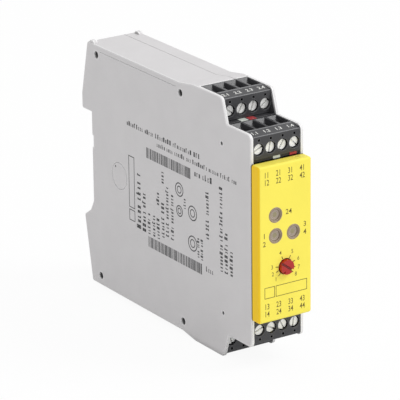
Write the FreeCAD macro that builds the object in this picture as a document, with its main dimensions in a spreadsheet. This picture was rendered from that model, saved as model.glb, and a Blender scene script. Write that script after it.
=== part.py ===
import FreeCAD, Part
import os
import Sketcher

# A 22.5 mm wide safety relay for a 35 mm top-hat rail, in millimetres.
#
# The model is drawn in a working frame whose numbers are all positive: X runs from the left
# outer face (0) to the right one, Y runs from the front of the yellow cover (0) to the rail
# side, and Z runs up from the lowest edge. Every sub-part is then placed so that the origin
# lies under the centre of the whole device, at its lowest edge. The front faces -Y.

DOC = FreeCAD.newDocument("safety_relay")
SHEET = DOC.addObject("Spreadsheet::Sheet", "Sheet")

# Driving dimensions: alias, value, what it is.
DIMENSIONS = [
    ("width", 22.5, "overall width of the housing"),
    ("height", 98.0, "overall height over the terminal zones"),
    ("depth", 117.7, "front of the cover to the rearmost edge"),
    ("wall", 1.2, "moulded wall"),
    ("seam_x", 16.0, "width of the left shell"),
    ("seam_gap", 0.1, "open seam between the shells"),
    ("edge_round", 0.4, "rounding along the outer edges of both sides"),
    ("corner_round", 1.0, "rounding of the rear corners"),
    ("top_inset", 1.4, "how far the rear body stays inside the terminal zones, top and bottom"),
    ("cover_deep", 5.0, "front of the cover to the front edge of the side plates"),
    ("cover_gap", 0.25, "open joint between the cover and the side plates"),
    ("cover_low", 19.8, "lower edge of the cover"),
    ("cover_wall", 1.2, "wall of the cover"),
    ("cover_round", 0.9, "rounding of the cover"),
    ("nose_y", 20.0, "inner corner of the terminal step"),
    ("nose_slope", 3.0, "lean of the slanted edge beside the rear plugs"),
    ("nose_round", 2.0, "rounding of the plates' front corners"),
    ("step_in", 9.3, "how far the terminal step stands inside the overall height"),
    ("flare_y", 41.5, "where the terminal zone starts to fall towards the body"),
    ("flare_run", 8.8, "length of that fall"),
    ("roof_y", 38.4, "front end of the top and bottom walls"),
    ("rear_lean", 4.7, "lean of the rear edge towards the top"),
    ("hook_up", 20.5, "lower edge of the upper rail hook over the middle of the height"),
    ("hook_high", 6.0, "upright part of the hook's rear edge"),
    ("rail_deep", 6.65, "depth of the rail recess"),
    ("rail_high", 35.0, "height of the rail"),
    ("rail_thick", 1.0, "thickness of the rail"),
    ("rail_clear", 0.1, "clearance over the rail's upper edge"),
    ("lip_thick", 2.7, "thickness of the lips that reach behind the rail"),
    ("lip_over", 1.5, "how far a lip overlaps the rail"),
    ("tail_rise", 3.0, "rise of the lower slope of the recess"),
    ("tail_drop", 7.4, "upper end of the lower rear edge, below the rail"),
    ("tail_gap", 0.3, "gap between the rail's lower edge and the plates"),
    ("peg_bore", 2.8, "bore of the hollow pillars that join the shells"),
    ("peg_clear", 0.15, "clearance of a peg in its pillar"),
    ("peg_wall", 1.0, "wall of a pillar"),
    ("peg_y1", 49.5, "front pillars"),
    ("peg_back", 11.0, "rear pillars, from the rearmost edge"),
    ("peg_in", 5.15, "height of the pillars inside the overall height"),
    ("pin_hole", 1.5, "small holes of the side plates, over the header pegs"),
    ("pin_hole_y", 23.1, "their place"),
    ("pin_hole_in", 16.95, "their height inside the overall height"),
    ("groove_in", 1.9, "shallow line below the upper edge of the side"),
    ("groove_wide", 0.3, "width of that line"),
    ("groove_deep", 0.15, "depth of that line"),
    ("mark_dia", 10.6, "round moulding mark on the left side"),
    ("mark_back", 25.7, "place of the moulding mark, from the rearmost edge"),
    ("mark_up", 0.4, "moulding mark over the middle of the height"),
    ("pole_end", 2.4, "axis of the outer terminals to the ends of the plug"),
    ("side_gap", 0.15, "clearance of a plug beside the side plates"),
    ("plug_front", 5.2, "front face of the front plugs"),
    ("plug_back", 17.9, "how far the rear plugs stand behind the front ones"),
    ("plug_in", 18.5, "underside of the upper front plug, inside the overall height"),
    ("plug_shift", 9.4, "how far the outer plugs stand above the inner ones"),
    ("plug_high", 9.1, "height of a plug"),
    ("plug_deep", 14.8, "depth of a plug"),
    ("strip_run", 5.0, "marking strip along the upper front edge of a plug"),
    ("strip_drop", 1.05, "fall of the marking strip"),
    ("screw_up", 3.3, "screw axis over the underside of the plug"),
    ("head_bore", 4.4, "bore over the screw head"),
    ("head_dia", 3.8, "screw head"),
    ("head_thick", 1.3, "thickness of the screw head"),
    ("head_in", 0.9, "how far the head stands behind the plug's face"),
    ("slot_wide", 0.6, "driver slot"),
    ("slot_deep", 0.7, "depth of the driver slot"),
    ("shank_dia", 2.3, "screw shank"),
    ("shank_clear", 0.3, "clearance of the shank in the plug"),
    ("thread_clear", 0.05, "clearance of the shank in the clamp"),
    ("shoulder", 1.0, "plug wall behind the screw head"),
    ("floor_thick", 0.4, "plug wall under the chambers"),
    ("chamber_web", 1.0, "wall between two chambers"),
    ("chamber_high", 4.9, "height of a chamber"),
    ("cage_gap", 0.2, "clearance of a clamp in its chamber"),
    ("cage_stop", 0.1, "clearance of a closed clamp"),
    ("cage_wall", 0.6, "side walls of a clamp"),
    ("cage_nut", 1.2, "threaded wall of a clamp"),
    ("cage_lift", 1.15, "height of a clamp over the chamber floor"),
    ("cage_travel", 2.4, "travel of a clamp"),
    ("wire_gap", 3.4, "open space for the wire"),
    ("bar_thick", 0.6, "contact bar"),
    ("bar_slack", 0.3, "open clamp to contact bar"),
    ("bar_wide", 2.2, "width of the contact bar"),
    ("bar_gap", 0.05, "screw tip to contact bar"),
    ("prong_wide", 0.4, "fork prongs"),
    ("prong_high", 0.8, "height of the fork prongs"),
    ("prong_end", 0.8, "fork prongs end inside the rear face of the plug"),
    ("funnel_web", 0.9, "wall between two wire funnels at the top"),
    ("funnel_edge", 0.5, "walls in front of and behind the funnels"),
    ("throat_wide", 2.6, "width of the funnel at its foot"),
    ("throat_long", 3.2, "length of the funnel at its foot"),
    ("probe_size", 0.9, "square test opening"),
    ("probe_up", 3.4, "test opening over the screw axis"),
    ("probe_deep", 3.0, "depth of the test opening"),
    ("pin_wide", 0.9, "header pin"),
    ("pin_high", 0.7, "height of a header pin"),
    ("pin_gap", 0.05, "clearance of a pin in its fork"),
    ("pin_reach", 6.0, "how far a pin reaches into its plug"),
    ("pin_bend", 5.6, "first pin bend behind its header"),
    ("pin_step", 2.0, "distance between the bent legs"),
    ("header_gap", 0.2, "plug to header"),
    ("header_side", 0.05, "header to side plate"),
    ("header_deep", 8.6, "depth of a header"),
    ("header_high", 7.5, "height of a header"),
    ("shelf_thick", 1.0, "shelf under a plug"),
    ("shelf_gap", 0.2, "plug to shelf"),
    ("shelf_front", 5.6, "front end of the shelves beside the cover"),
    ("shelf_rear", 20.6, "front end of the outer shelves"),
    ("key_deep", 2.4, "length of a coding key"),
    ("key_wide", 3.0, "width of a coding key"),
    ("key_out", 0.2, "how far a key stands out of the shelf"),
    ("white_front", 0.05, "white keys of the front rows, right of the middle"),
    ("red_front", 7.05, "red keys of the front rows, right of the middle"),
    ("white_rear", -3.05, "white keys of the rear rows, right of the middle"),
    ("red_rear", 0.45, "red keys of the rear rows, right of the middle"),
    ("board_thick", 1.6, "printed boards"),
    ("board_gap", 0.4, "main board to the left wall"),
    ("board_y", 8.5, "front board"),
    ("board_edge", 0.5, "clearance round the boards"),
    ("lens_dia", 5.2, "status windows"),
    ("lens_clear", 0.1, "clearance of a window in the cover"),
    ("lens_in", 0.2, "how far a window stands behind the cover"),
    ("lens_rim", 0.7, "rim of a window"),
    ("lens_dish", 0.4, "depth of the dish in a window"),
    ("lens_web", 1.0, "web that joins the windows"),
    ("lens_rod", 2.6, "light rods behind the windows"),
    ("lens_left", 4.2, "left windows, from the middle of the width"),
    ("lens_right", 3.4, "right window, from the middle of the width"),
    ("lens_up", 2.9, "lower windows over the middle of the height"),
    ("lens_step", 7.7, "upper window over the lower ones"),
    ("knob_drop", 9.4, "delay knob under the middle of the height"),
    ("knob_dia", 5.4, "diameter of the knob"),
    ("knob_clear", 0.3, "clearance round the knob"),
    ("knob_out", 1.5, "how far the knob stands out"),
    ("knob_deep", 3.6, "length of the knob's head"),
    ("knob_slot", 0.8, "driver slot of the knob"),
    ("knob_slot_deep", 0.9, "depth of that slot"),
    ("knob_turn", 37.0, "angle at which the knob stands"),
    ("arrow_long", 1.2, "pointer notch in the rim of the knob"),
    ("arrow_wide", 1.1, "its width at the rim"),
    ("spindle_dia", 2.6, "knob spindle"),
    ("spindle_clear", 0.05, "clearance of the spindle in the potentiometer"),
    ("spindle_long", 4.2, "length of the spindle"),
    ("pot_size", 6.6, "potentiometer body"),
    ("pot_deep", 4.6, "depth of the potentiometer"),
    ("catch_wide", 12.5, "rail catch"),
    ("catch_thick", 1.7, "thickness of the rail catch"),
    ("catch_low", 4.2, "lower end of the rail catch"),
    ("catch_travel", 3.0, "travel of the rail catch"),
    ("catch_gap", 0.3, "clearance round the rail catch"),
    ("catch_drop", 9.8, "shelf and step of the catch, below the rail"),
    ("spring_dia", 3.6, "outer diameter of the catch spring"),
    ("spring_wire", 0.5, "spring wire"),
    ("spring_turns", 7.0, "turns of the spring"),
    ("ledge_z", 7.6, "spring seat of the housing"),
    ("ledge_thick", 1.5, "thickness of that seat"),
    ("back_wall", 12.7, "inner wall in front of the rail catch, from the rearmost edge"),
    ("hook_thick", 3.5, "height of the hook's underside"),
    ("nick_drop", 14.0, "nick in the plates beside the rail, its lower end below the hook"),
    ("nick_high", 5.0, "height of that nick"),
    ("nick_deep", 1.1, "depth of that nick"),
    ("ear_long", 3.4, "rounded ears on the rear ends of the roof"),
    ("ear_high", 0.9, "height of the ears"),
    ("ear_wide", 1.8, "width of the ears"),
    ("ear_in", 0.9, "ears to the rear end of the roof"),
    ("lip_gap", 0.25, "rail to lip"),
    ("lip_side", 4.0, "lip to the outer faces"),
    ("tail_step", 2.25, "where the lower slope of the recess bends"),
    ("peg_tip", 3.0, "tip of the pegs, from the left face"),
    ("peg_reach", 0.8, "how far a header peg enters the plate"),
    ("leg_out", 0.25, "pin legs stand out of the board"),
    ("tab_gap", 0.15, "clearance of the cover's tabs"),
    ("tab_thick", 1.0, "thickness of the tabs"),
    ("tab_in", 7.0, "tabs to the ends of the cover"),
    ("tab_high", 6.0, "height of the tabs"),
    ("notch_side", 5.2, "release notch of the cover, from the right face"),
    ("notch_y", 2.8, "its distance from the front"),
    ("notch_long", 2.0, "its length"),
    ("notch_wide", 0.9, "its width"),
    ("board_tab", 2.3, "tab of the main board over the outer plugs' underside"),
    ("part_round", 0.5, "rounding of the components"),
    ("catch_set", 0.15, "catch plate behind the floor of the rail recess"),
    ("catch_lug", 1.6, "thickness of the catch's shelf"),
    ("guide_over", 1.2, "overlap of the guides over the catch"),
    ("guide_wall", 0.9, "wall of the guides"),
    ("guide_low", 12.0, "lower end of the guides"),
    ("guide_free", 1.1, "upper end of the guides below the lowered catch's step"),
    ("nose_lead", 2.4, "lead-in of the catch's nose"),
    ("nose_tip", 0.8, "flat tip of the catch's nose"),
    ("tool_wide", 4.0, "slot for the screwdriver"),
    ("tool_edge", 1.0, "web under that slot"),
    ("tool_high", 1.2, "height of that slot"),
    ("spring_back", 8.6, "axis of the catch spring, from the rearmost edge"),
    ("ledge_wide", 8.0, "width of the spring seat"),
    ("relay_long", 38.0, "force-guided relays"),
    ("relay_wide", 13.0, "their width"),
    ("relay_tall", 15.6, "their height over the board"),
    ("relay_back", 11.0, "relays to the inner rear wall"),
    ("relay_gap", 2.0, "gap between the relays"),
    ("core_long", 24.0, "transformer"),
    ("core_wide", 19.0, "its width"),
    ("core_tall", 14.5, "its height over the board"),
    ("core_back", 19.0, "transformer to the inner rear wall"),
    ("core_in", 12.5, "top of the transformer, inside the overall height"),
    ("core_gap", 5.5, "gap between the upper relay and the transformer"),
    ("cut_over", 1.0, "how far a cut reaches past the face that it opens"),
]

for row, (alias, number, meaning) in enumerate(DIMENSIONS, start=1):
    SHEET.set("A%d" % row, meaning)
    SHEET.set("B%d" % row, str(number))
    SHEET.setAlias("B%d" % row, alias)
DOC.recompute()


class Size:
    """A length that carries its number and the sheet expression that gives it."""

    def __init__(self, number, text):
        self.number = number
        self.text = text

    def _join(self, other, sign, number):
        return Size(number, "(%s %s %s)" % (self.text, sign, size(other).text))

    def __add__(self, other):
        return self._join(other, "+", self.number + size(other).number)

    def __sub__(self, other):
        return self._join(other, "-", self.number - size(other).number)

    def __mul__(self, other):
        return self._join(other, "*", self.number * size(other).number)

    def __truediv__(self, other):
        return self._join(other, "/", self.number / size(other).number)


def size(thing):
    """A Size from a Size or a plain number."""
    if isinstance(thing, Size):
        return thing
    return Size(float(thing), repr(float(thing)))


class Sheet:
    """The driving dimensions as Size attributes."""


d = Sheet()
for alias, number, meaning in DIMENSIONS:
    setattr(d, alias, Size(number, "Sheet." + alias))

MIDDLE = d.width / 2
POLES = 4
SUBPARTS = []


# ---------------------------------------------------------------- drawing helpers

PLANES = {"YZ": "YZ_Plane", "XZ": "XZ_Plane", "XY": "XY_Plane"}


def new_body(label):
    """An empty body that will become the sub-part of that name."""
    body = DOC.addObject("PartDesign::Body", label)
    body.Label = label
    SUBPARTS.append(body)
    return body


def new_sketch(body, plane, level):
    """A sketch parallel to an origin plane, at the given place along its normal axis."""
    sketch = body.newObject("Sketcher::SketchObject", "sketch")
    origin = [f for f in body.Origin.OriginFeatures if f.Role == PLANES[plane]][0]
    sketch.AttachmentSupport = [(origin, "")]
    sketch.MapMode = "FlatFace"
    level = size(level)
    # The XZ plane faces -Y, so its level counts the other way.
    offset = level * -1 if plane == "XZ" else level
    sketch.AttachmentOffset = FreeCAD.Placement(FreeCAD.Vector(0, 0, offset.number), FreeCAD.Rotation())
    sketch.setExpression("AttachmentOffset.Base.z", offset.text)
    return sketch


def drive(sketch, kind, parts, length):
    """A constraint whose value follows the sheet."""
    index = sketch.addConstraint(Sketcher.Constraint(kind, *parts, length.number))
    sketch.setExpression("Constraints[%d]" % index, length.text)


def polygon(sketch, points):
    """A closed outline with every corner driven by the sheet."""
    corners = [(size(a), size(b)) for a, b in points]
    flat = [FreeCAD.Vector(a.number, b.number, 0) for a, b in corners]
    first = sketch.GeometryCount
    count = len(flat)
    for i in range(count):
        sketch.addGeometry(Part.LineSegment(flat[i], flat[(i + 1) % count]), False)
    for i in range(count):
        following = first + (i + 1) % count
        sketch.addConstraint(Sketcher.Constraint("Coincident", first + i, 2, following, 1))
    for i, (a, b) in enumerate(corners):
        drive(sketch, "DistanceX", (-1, 1, first + i, 1), a)
        drive(sketch, "DistanceY", (-1, 1, first + i, 1), b)


def rectangle(sketch, a0, b0, a1, b1):
    """A rectangle between two corners."""
    polygon(sketch, [(a0, b0), (a1, b0), (a1, b1), (a0, b1)])


def circle(sketch, a, b, diameter):
    """A circle driven by its centre and diameter."""
    a, b, radius = size(a), size(b), size(diameter) / 2
    centre = FreeCAD.Vector(a.number, b.number, 0)
    index = sketch.addGeometry(Part.Circle(centre, FreeCAD.Vector(0, 0, 1), radius.number), False)
    drive(sketch, "DistanceX", (-1, 1, index, 3), a)
    drive(sketch, "DistanceY", (-1, 1, index, 3), b)
    drive(sketch, "Radius", (index,), radius)


def pad(body, sketch, plane, length):
    """Material from the sketch towards +X, +Y or +Z."""
    feature = body.newObject("PartDesign::Pad", "pad")
    feature.Profile = sketch
    feature.setExpression("Length", size(length).text)
    feature.Reversed = plane == "XZ"
    return feature


def pocket(body, sketch, plane, length):
    """A cut from the sketch towards +X, +Y or +Z, which has to take material away."""
    DOC.recompute()
    before = body.Shape.Volume
    feature = body.newObject("PartDesign::Pocket", "pocket")
    feature.Profile = sketch
    feature.setExpression("Length", size(length).text)
    feature.Reversed = plane != "XZ"
    DOC.recompute()
    if body.Shape.Volume >= before:
        raise RuntimeError("a pocket of %s cuts nothing" % body.Label)
    return feature


def prism(body, plane, start, end, draw, cut=False):
    """A pad or pocket between two levels, with its outlines drawn by a function."""
    start, end = size(start), size(end)
    sketch = new_sketch(body, plane, start)
    draw(sketch)
    make = pocket if cut else pad
    return make(body, sketch, plane, end - start)


def block(body, low, high, cut=False):
    """A box between two corners, added to the body or cut from it."""
    (x0, y0, z0), (x1, y1, z1) = low, high
    return prism(body, "XY", z0, z1, lambda sketch: rectangle(sketch, x0, y0, x1, y1), cut)


def edges_at(body, axis, places, reach=0.02):
    """Names of the edges that run along an axis through the given places of the other two."""
    DOC.recompute()
    across = [i for i in range(3) if i != axis]
    names = []
    for number, edge in enumerate(body.Shape.Edges, start=1):
        if edge.Curve.TypeId != "Part::GeomLine":
            continue
        direction = edge.Curve.Direction
        if abs(abs(direction[axis]) - 1) > 1e-6:
            continue
        middle = edge.CenterOfMass
        for place in places:
            gaps = [abs(middle[a] - size(p).number) for a, p in zip(across, place)]
            if max(gaps) < reach:
                names.append("Edge%d" % number)
    if not names:
        raise RuntimeError("no edge of %s lies at %s" % (body.Label, places))
    return names


def round_edges(body, names, radius):
    """A fillet on the named edges of the body as it stands."""
    before = body.Tip
    feature = body.newObject("PartDesign::Fillet", "fillet")
    feature.Base = (before, names)
    feature.setExpression("Radius", size(radius).text)
    DOC.recompute()
    if not feature.isValid():
        raise RuntimeError("a rounding of %s fails" % body.Label)
    return feature


# ---------------------------------------------------------------- shared places

Y_MIDDLE = (d.depth - d.knob_out) / 2
Z_MIDDLE = d.height / 2
INNER_LEFT = d.wall
INNER_RIGHT = d.width - d.wall
STEP_Z = d.height - d.step_in
BODY_TOP = d.height - d.top_inset
RECESS_Y = d.depth - d.rail_deep
BACK_WALL_Y = d.depth - d.back_wall
HOOK_Z = Z_MIDDLE + d.hook_up
RAIL_TOP = HOOK_Z - d.rail_clear
RAIL_LOW = RAIL_TOP - d.rail_high
TAIL_Z = RAIL_LOW - d.tail_drop
NICK_Z = HOOK_Z - d.nick_drop
LIP_Y = RECESS_Y + d.rail_thick + d.lip_gap
CATCH_LEFT = MIDDLE - d.catch_wide / 2
CATCH_RIGHT = MIDDLE + d.catch_wide / 2
CATCH_STEP = RAIL_LOW - d.catch_drop
GUIDE_TOP = CATCH_STEP - d.catch_travel - d.guide_free
CHANNEL_Y = BACK_WALL_Y + d.wall
CHANNEL_TOP = CATCH_STEP + d.catch_lug + d.catch_gap
SPRING_Y = d.depth - d.spring_back
MARK_Y = d.depth - d.mark_back
MARK_Z = Z_MIDDLE + d.mark_up
KNOB_Z = Z_MIDDLE - d.knob_drop


def place(body, x=0, y=0, z=0, turn=None):
    """Move a sub-part from the working frame to the frame of the device."""
    base = [size(x) - MIDDLE, size(y) - Y_MIDDLE, size(z)]
    place = FreeCAD.Vector(*[b.number for b in base])
    body.Placement = FreeCAD.Placement(place, turn or FreeCAD.Rotation())
    for axis, b in zip("xyz", base):
        body.setExpression("Placement.Base." + axis, b.text)


# ---------------------------------------------------------------- housing shells


def side_outline(sketch):
    """The outer shape of the side plates, seen from the left, front at the small Y."""
    nose = d.nose_y + d.nose_slope
    flare_end = d.flare_y + d.flare_run
    lean_y = d.depth - d.rear_lean
    polygon(sketch, [
        (d.cover_deep, d.step_in),
        (d.nose_y, d.step_in),
        (nose, 0),
        (d.flare_y, 0),
        (flare_end, d.top_inset),
        (lean_y, d.top_inset),
        (d.depth, TAIL_Z),
        (RECESS_Y + d.tail_step, TAIL_Z + d.tail_rise),
        (RECESS_Y, RAIL_LOW - d.tail_gap),
        (RECESS_Y, HOOK_Z),
        (d.depth, HOOK_Z),
        (d.depth, HOOK_Z + d.hook_high),
        (lean_y, BODY_TOP),
        (flare_end, BODY_TOP),
        (d.flare_y, d.height),
        (nose, d.height),
        (d.nose_y, STEP_Z),
        (d.cover_deep, STEP_Z),
    ])


def cavity_outline(sketch):
    """The room inside the walls, open towards the front between the side plates."""
    outside = d.cover_deep - d.cut_over
    under = d.cut_over * -1
    flare_end = d.flare_y + d.flare_run
    low = d.top_inset + d.wall
    wall_y = RECESS_Y - d.wall
    shoulder_z = CHANNEL_TOP + d.wall
    hook_in = HOOK_Z + d.hook_thick
    rear_y = d.depth - d.wall
    polygon(sketch, [
        (outside, under),
        (d.roof_y, under),
        (d.roof_y, d.wall),
        (d.flare_y, d.wall),
        (flare_end, low),
        (BACK_WALL_Y, low),
        (BACK_WALL_Y, shoulder_z),
        (wall_y, shoulder_z),
        (wall_y, hook_in),
        (rear_y, hook_in),
        (rear_y, HOOK_Z + d.hook_high),
        (rear_y - d.rear_lean, d.height - low),
        (flare_end, d.height - low),
        (d.flare_y, d.height - d.wall),
        (d.roof_y, d.height - d.wall),
        (d.roof_y, d.height + d.cut_over),
        (outside, d.height + d.cut_over),
    ])


def channel_outline(sketch):
    """The open room behind the lower body in which the rail catch slides."""
    beyond = d.depth + d.cut_over
    under = d.cut_over * -1
    polygon(sketch, [
        (CHANNEL_Y, under),
        (beyond, under),
        (beyond, RAIL_LOW + d.lip_over),
        (RECESS_Y, RAIL_LOW + d.lip_over),
        (RECESS_Y, CHANNEL_TOP),
        (CHANNEL_Y, CHANNEL_TOP),
    ])


def guide_outline(sketch, wall_x, edge_x, inward):
    """A guide rail that holds one edge of the catch in front, behind and at the side."""
    side = edge_x - d.catch_gap * inward
    cover = edge_x + d.guide_over * inward
    front = RECESS_Y + d.catch_set - d.catch_gap
    back = RECESS_Y + d.catch_set + d.catch_thick + d.catch_gap
    polygon(sketch, [
        (wall_x, front - d.guide_wall),
        (cover, front - d.guide_wall),
        (cover, front),
        (side, front),
        (side, back),
        (cover, back),
        (cover, back + d.guide_wall),
        (wall_x, back + d.guide_wall),
    ])


def pillar_places():
    """Centres of the four joining pillars in the side view."""
    for y in (d.peg_y1, d.depth - d.peg_back):
        for z in (d.peg_in, d.height - d.peg_in):
            yield y, z


def front_corners():
    """The four rounded front corners of a side plate in the side view."""
    nose = d.nose_y + d.nose_slope
    return [
        (nose, 0),
        (nose, d.height),
        (d.cover_deep, d.step_in),
        (d.cover_deep, STEP_Z),
    ]


def rear_corners():
    """The rounded corners of a side plate round the hook and the tail."""
    return [
        (d.depth, HOOK_Z),
        (d.depth, HOOK_Z + d.hook_high),
        (d.depth, TAIL_Z),
        (d.depth - d.rear_lean, d.top_inset),
        (d.depth - d.rear_lean, BODY_TOP),
    ]


def ears(body, start, end):
    """The small rounded ear on the rear end of the roof."""
    back = d.depth - d.rear_lean - d.ear_in

    def outline(sketch):
        polygon(sketch, [
            (back - d.ear_long, BODY_TOP),
            (back, BODY_TOP),
            (back - d.ear_high, BODY_TOP + d.ear_high),
            (back - d.ear_long + d.ear_high, BODY_TOP + d.ear_high),
        ])

    prism(body, "YZ", start, end, outline)


def shell_walls(label, x0, x1, face_x, plate_x, lip0, lip1):
    """The walls of one shell: side plate, roof, floor, rear wall and rail recess."""
    body = new_body(label)
    prism(body, "YZ", x0, x1, side_outline)
    round_edges(body, edges_at(body, 0, front_corners()), d.nose_round)
    round_edges(body, edges_at(body, 0, rear_corners()), d.corner_round)
    rim = ["Edge%d" % number for number, edge in enumerate(body.Shape.Edges, start=1)
           if abs(edge.BoundBox.XMin - face_x.number) + abs(edge.BoundBox.XMax - face_x.number) < 0.01]
    round_edges(body, rim, d.edge_round)
    inner0 = x0 if plate_x.number > 0 else d.wall
    inner1 = x1 if plate_x.number == 0 else plate_x
    prism(body, "YZ", inner0, inner1, cavity_outline, cut=True)
    prism(body, "YZ", inner0, inner1, channel_outline, cut=True)
    block(body, (lip0, LIP_Y, RAIL_TOP - d.lip_over), (lip1, LIP_Y + d.lip_thick, HOOK_Z + d.wall))

    def plate_holes(sketch):
        for z in (d.pin_hole_in, d.height - d.pin_hole_in):
            circle(sketch, d.pin_hole_y, z, d.pin_hole)
        rectangle(sketch, RECESS_Y - d.nick_deep, NICK_Z, d.depth, NICK_Z + d.nick_high)

    prism(body, "YZ", plate_x, plate_x + d.wall, plate_holes, cut=True)
    return body


def side_line(body, start, end):
    """The shallow moulded line between the upper pillars, along the upper edge of a side."""
    low = BODY_TOP - d.groove_in - d.groove_wide
    block(
        body,
        (start, d.peg_y1 + d.peg_bore, low),
        (end, d.depth - d.peg_back - d.peg_bore, low + d.groove_wide),
        cut=True,
    )


def left_shell():
    """The deep shell, with the hollow pillars and the seat of the catch spring."""
    body = shell_walls("housing_left_shell", size(0), d.seam_x, size(0), size(0), d.lip_side, d.seam_x)
    ears(body, d.edge_round, d.edge_round + d.ear_wide)

    def pillars(sketch):
        for y, z in pillar_places():
            circle(sketch, y, z, d.peg_bore + d.peg_wall * 2)

    def bores(sketch):
        for y, z in pillar_places():
            circle(sketch, y, z, d.peg_bore)

    prism(body, "YZ", INNER_LEFT, d.seam_x, pillars)
    block(
        body,
        (MIDDLE - d.ledge_wide / 2, CHANNEL_Y, d.ledge_z - d.ledge_thick),
        (MIDDLE + d.ledge_wide / 2, RECESS_Y + d.catch_set - d.catch_gap, d.ledge_z),
    )
    prism(
        body, "XY", d.guide_low, GUIDE_TOP,
        lambda sketch: guide_outline(sketch, INNER_LEFT, CATCH_LEFT, size(1)),
    )
    prism(body, "YZ", 0, d.seam_x, bores, cut=True)
    side_line(body, 0, d.groove_deep)

    def ring(sketch):
        circle(sketch, MARK_Y, MARK_Z, d.mark_dia)
        circle(sketch, MARK_Y, MARK_Z, d.mark_dia - d.groove_wide * 2)

    prism(body, "YZ", 0, d.groove_deep, ring, cut=True)
    place(body)


def right_shell():
    """The shallow shell, with the pegs that fill the pillars."""
    seam = d.seam_x + d.seam_gap
    lip_end = d.width - d.lip_side
    body = shell_walls("housing_right_shell", seam, d.width, d.width, INNER_RIGHT, seam, lip_end)
    ears(body, d.width - d.edge_round - d.ear_wide, d.width - d.edge_round)

    def pegs(sketch):
        for y, z in pillar_places():
            circle(sketch, y, z, d.peg_bore - d.peg_clear * 2)

    prism(body, "YZ", d.peg_tip, INNER_RIGHT, pegs)
    prism(
        body, "XY", d.guide_low, GUIDE_TOP,
        lambda sketch: guide_outline(sketch, INNER_RIGHT, CATCH_RIGHT, size(-1)),
    )
    side_line(body, d.width - d.groove_deep, d.width)
    place(body)


# ---------------------------------------------------------------- front cover and what it shows


LENS_LEFT = MIDDLE - d.lens_left
LENS_RIGHT = MIDDLE + d.lens_right
LENS_LOW = Z_MIDDLE + d.lens_up
LENS_HIGH = LENS_LOW + d.lens_step


def window_places():
    """Centres of the three status windows in the front view."""
    return [(LENS_LEFT, LENS_HIGH), (LENS_LEFT, LENS_LOW), (LENS_RIGHT, LENS_LOW)]


def front_cover():
    """The yellow snap-on cap with openings for the windows and the knob."""
    body = new_body("front_cover")
    top = d.height - d.cover_low
    back = d.cover_deep - d.cover_gap
    block(body, (0, 0, d.cover_low), (d.width, back, top))
    upright = edges_at(body, 1, [(0, d.cover_low), (d.width, d.cover_low), (0, top), (d.width, top)])
    round_edges(body, upright, d.cover_round)
    front_face = ["Face%d" % number for number, face in enumerate(body.Shape.Faces, start=1)
                  if face.BoundBox.YMax < 0.01]
    round_edges(body, front_face, d.cover_round)
    wall = d.cover_wall
    block(body, (wall, wall, d.cover_low + wall), (d.width - wall, back, top - wall), cut=True)
    for x0, x1 in (
        (wall + d.tab_gap, wall + d.tab_gap + d.tab_thick),
        (d.width - wall - d.tab_gap - d.tab_thick, d.width - wall - d.tab_gap),
    ):
        for z in (d.cover_low + d.tab_in, top - d.tab_in - d.tab_high):
            block(body, (x0, wall, z), (x1, d.board_y - d.tab_gap, z + d.tab_high))

    def openings(sketch):
        for x, z in window_places():
            circle(sketch, x, z, d.lens_dia + d.lens_clear * 2)
        circle(sketch, MIDDLE, KNOB_Z, d.knob_dia + d.knob_clear * 2)

    prism(body, "XZ", 0, wall, openings, cut=True)
    notch = d.width - d.notch_side
    block(
        body,
        (notch, d.notch_y, top - wall),
        (notch + d.notch_long, d.notch_y + d.notch_wide, top),
        cut=True,
    )
    place(body)


def light_pipe():
    """One clear moulding: three dished windows, the web that joins them and their rods."""
    body = new_body("light_pipe")
    web_y = d.cover_wall + d.lens_clear
    half = d.lens_rod / 2

    def web(sketch):
        polygon(sketch, [
            (LENS_LEFT - half, LENS_LOW - half),
            (LENS_RIGHT + half, LENS_LOW - half),
            (LENS_RIGHT + half, LENS_LOW + half),
            (LENS_LEFT + half, LENS_LOW + half),
            (LENS_LEFT + half, LENS_HIGH + half),
            (LENS_LEFT - half, LENS_HIGH + half),
        ])

    def discs(diameter):
        def draw(sketch):
            for x, z in window_places():
                circle(sketch, x, z, diameter)
        return draw

    prism(body, "XZ", web_y, web_y + d.lens_web, web)
    prism(body, "XZ", d.lens_in, web_y, discs(d.lens_dia))
    prism(body, "XZ", web_y + d.lens_web, d.board_y - d.lens_clear, discs(d.lens_rod))
    prism(body, "XZ", d.lens_in, d.lens_in + d.lens_dish, discs(d.lens_dia - d.lens_rim * 2), cut=True)
    place(body)


def delay_knob():
    """The slotted knob, drawn about its own axis."""
    body = new_body("delay_knob")
    front = d.knob_out * -1
    back = front + d.knob_deep
    half = d.knob_slot / 2
    rim = d.knob_dia / 2

    def arrow(sketch):
        polygon(sketch, [
            (d.arrow_wide * -0.5, rim * -1),
            (d.arrow_wide / 2, rim * -1),
            (0, d.arrow_long - rim),
        ])

    prism(body, "XZ", front, back, lambda sketch: circle(sketch, 0, 0, d.knob_dia))
    prism(body, "XZ", back, back + d.spindle_long, lambda sketch: circle(sketch, 0, 0, d.spindle_dia))
    block(
        body,
        (d.knob_dia * -0.5, front, half * -1),
        (d.knob_dia / 2, front + d.knob_slot_deep, half),
        cut=True,
    )
    prism(body, "XZ", front, front + d.knob_slot_deep, arrow, cut=True)
    place(body, MIDDLE, 0, KNOB_Z, FreeCAD.Rotation(FreeCAD.Vector(0, 1, 0), d.knob_turn.number))
    body.setExpression("Placement.Rotation.Angle", d.knob_turn.text)


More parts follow.
